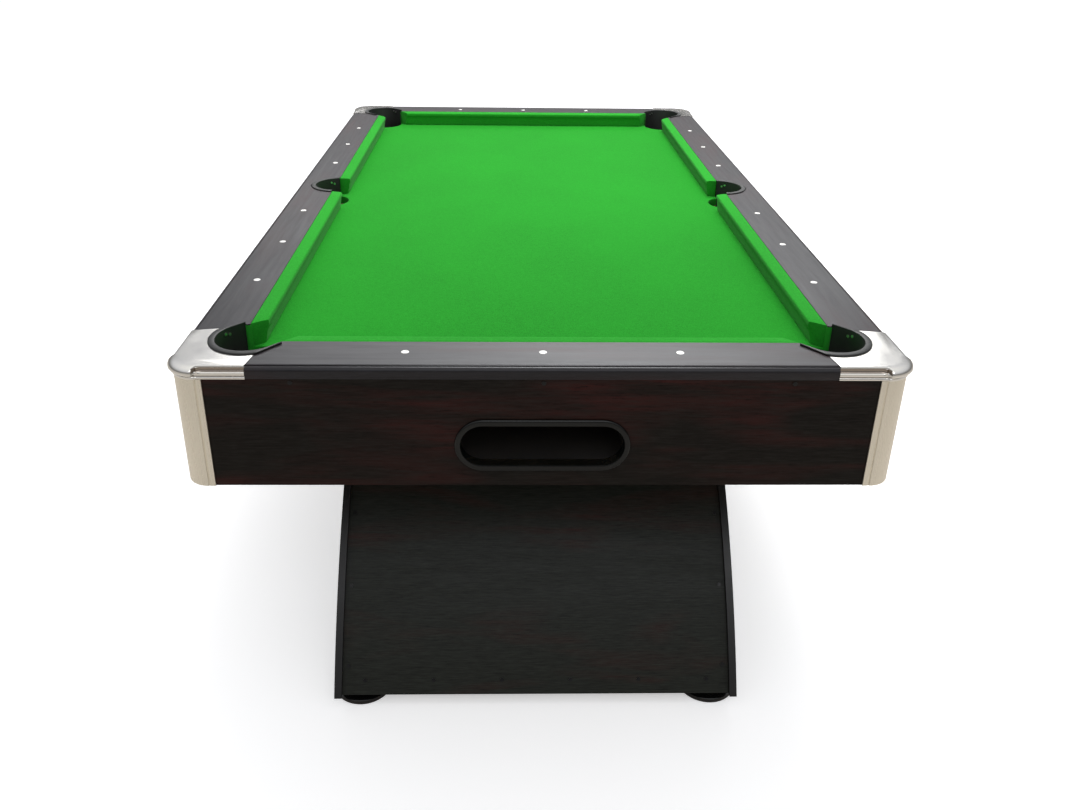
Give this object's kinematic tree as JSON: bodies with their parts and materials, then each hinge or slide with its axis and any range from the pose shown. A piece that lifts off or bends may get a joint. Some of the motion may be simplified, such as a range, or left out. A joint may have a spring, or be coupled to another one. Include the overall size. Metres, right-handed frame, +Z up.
{
  "type": "pool table",
  "caption": "Seven-foot pool table: felted bed and cushions, laminate rails and cabinet, metal corner caps, six pockets with a ball return, arched legs and levelling feet.",
  "frame": {"origin": "on the floor under the middle of the playing surface", "axes": "+Y along the table's length towards the rear end, away from the ball window; +X across; +Z up"},
  "size_m": [1.304, 2.274, 0.804],
  "materials": {
    "green_felt": "napped billiard cloth",
    "cushion_felt": "billiard cloth over rubber",
    "rail_laminate": "satin mahogany laminate",
    "dark_laminate": "satin dark mahogany laminate",
    "black_laminate": "satin black laminate",
    "raw_board": "raw fibreboard",
    "satin_nickel": "satin nickel plate",
    "brushed_aluminium": "vertically brushed, pale champagne",
    "pocket_rubber": "moulded black, satin",
    "gloss_black": "gloss black moulding",
    "runner_plastic": "black ball runner",
    "zinc_steel": "zinc plated",
    "black_steel": "blackened screw heads",
    "white_inlay": "polished round inlay"
  },
  "bodies": {
    "table": {"apron_front": "dark_laminate", "apron_left": "dark_laminate", "apron_rear": "dark_laminate", "apron_right": "dark_laminate", "bed_cloth": "green_felt", "bed_panel": "raw_board", "cabinet_screws": "black_steel", "corner_blocks": "raw_board", "corner_cap_front_left": "satin_nickel", "corner_cap_front_right": "satin_nickel", "corner_cap_rear_left": "satin_nickel", "corner_cap_rear_right": "satin_nickel", "corner_post_front_left": "brushed_aluminium", "corner_post_front_right": "brushed_aluminium", "corner_post_rear_left": "brushed_aluminium", "corner_post_rear_right": "brushed_aluminium", "cross_beams": "raw_board", "cushion_front": "cushion_felt", "cushion_left_front": "cushion_felt", "cushion_left_rear": "cushion_felt", "cushion_rear": "cushion_felt", "cushion_right_front": "cushion_felt", "cushion_right_rear": "cushion_felt", "front_runners": "runner_plastic", "leg_base_plates": "raw_board", "leg_board_front_left": "black_laminate", "leg_board_front_right": "black_laminate", "leg_board_rear_left": "black_laminate", "leg_board_rear_right": "black_laminate", "leg_inner_panel_front": "dark_laminate", "leg_inner_panel_rear": "dark_laminate", "leg_outer_panel_front": "dark_laminate", "leg_outer_panel_rear": "dark_laminate", "leg_top_plates": "raw_board", "levelling_nuts": "zinc_steel", "long_beams": "raw_board", "pocket_liner_front_left": "pocket_rubber", "pocket_liner_front_right": "pocket_rubber", "pocket_liner_middle_left": "pocket_rubber", "pocket_liner_middle_right": "pocket_rubber", "pocket_liner_rear_left": "pocket_rubber", "pocket_liner_rear_right": "pocket_rubber", "pocket_screws": "zinc_steel", "rail_front": "rail_laminate", "rail_left": "rail_laminate", "rail_rear": "rail_laminate", "rail_right": "rail_laminate", "return_bezel": "gloss_black", "return_tray": "runner_plastic", "side_runner_left": "runner_plastic", "side_runner_right": "runner_plastic", "sights": "white_inlay"},
    "foot_front_left": {"foot_pad_front_left": "gloss_black"},
    "stem_front_left": {"foot_stem_front_left": "zinc_steel"},
    "foot_front_right": {"foot_pad_front_right": "gloss_black"},
    "stem_front_right": {"foot_stem_front_right": "zinc_steel"},
    "foot_rear_left": {"foot_pad_rear_left": "gloss_black"},
    "stem_rear_left": {"foot_stem_rear_left": "zinc_steel"},
    "foot_rear_right": {"foot_pad_rear_right": "gloss_black"},
    "stem_rear_right": {"foot_stem_rear_right": "zinc_steel"}
  },
  "joints": [
    {"name": "foot_front_left_travel", "type": "slide", "parent": "table", "child": "foot_front_left", "axis": [0, 0, 1], "range_m": [-0.02, 0]},
    {"name": "stem_front_left_turn", "type": "hinge", "parent": "foot_front_left", "child": "stem_front_left", "pos_m": [-0.365, -1.038, 0.03], "axis": [0, 0, 1], "range_deg": [-3600, 0]},
    {"name": "foot_front_right_travel", "type": "slide", "parent": "table", "child": "foot_front_right", "axis": [0, 0, 1], "range_m": [-0.02, 0]},
    {"name": "stem_front_right_turn", "type": "hinge", "parent": "foot_front_right", "child": "stem_front_right", "pos_m": [0.365, -1.038, 0.03], "axis": [0, 0, 1], "range_deg": [-3600, 0]},
    {"name": "foot_rear_left_travel", "type": "slide", "parent": "table", "child": "foot_rear_left", "axis": [0, 0, 1], "range_m": [-0.02, 0]},
    {"name": "stem_rear_left_turn", "type": "hinge", "parent": "foot_rear_left", "child": "stem_rear_left", "pos_m": [-0.365, 1.038, 0.03], "axis": [0, 0, 1], "range_deg": [-3600, 0]},
    {"name": "foot_rear_right_travel", "type": "slide", "parent": "table", "child": "foot_rear_right", "axis": [0, 0, 1], "range_m": [-0.02, 0]},
    {"name": "stem_rear_right_turn", "type": "hinge", "parent": "foot_rear_right", "child": "stem_rear_right", "pos_m": [0.365, 1.038, 0.03], "axis": [0, 0, 1], "range_deg": [-3600, 0]}
  ],
  "couplings": [
    {"joint": "stem_front_left_turn", "follows": "foot_front_left_travel", "rad_per_m": 3141.6},
    {"joint": "stem_front_right_turn", "follows": "foot_front_right_travel", "rad_per_m": 3141.6},
    {"joint": "stem_rear_left_turn", "follows": "foot_rear_left_travel", "rad_per_m": 3141.6},
    {"joint": "stem_rear_right_turn", "follows": "foot_rear_right_travel", "rad_per_m": 3141.6}
  ]
}
